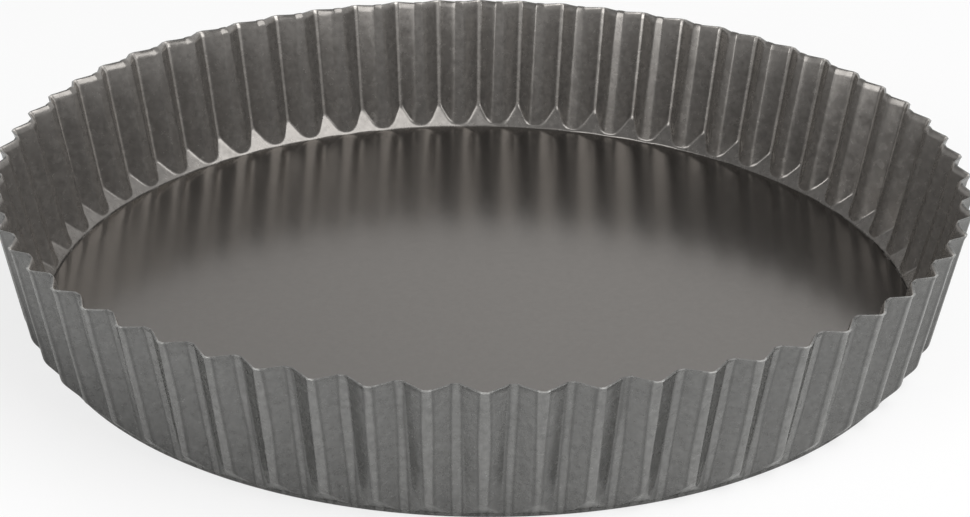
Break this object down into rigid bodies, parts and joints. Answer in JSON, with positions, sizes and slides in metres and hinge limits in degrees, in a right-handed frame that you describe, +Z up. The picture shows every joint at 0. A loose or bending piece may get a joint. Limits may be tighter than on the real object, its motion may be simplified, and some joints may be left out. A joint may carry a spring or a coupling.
{
  "type": "fluted quiche tin",
  "caption": "Round, shallow quiche and tart tin with a fluted, flared wall and a loose flat base that lifts out.",
  "frame": {"origin": "middle of the tin, on the plane it stands on", "axes": "+Z up along the tin's axis, out of its mouth; one outward flute points along +Y and one along -Y"},
  "size_m": [0.252, 0.2522, 0.0384],
  "materials": {
    "wall_coating": "dark grey non-stick coating with a fine mottle, satin, on pressed steel",
    "base_coating": "dark warm grey non-stick coating, smooth satin, on flat steel"
  },
  "bodies": {
    "ring": {"fluted_ring": "wall_coating"},
    "base": {"loose_base": "base_coating"}
  },
  "joints": [
    {"name": "base_lift", "type": "slide", "parent": "ring", "child": "base", "axis": [0, 0, 1], "range_m": [0, 0.05]}
  ]
}
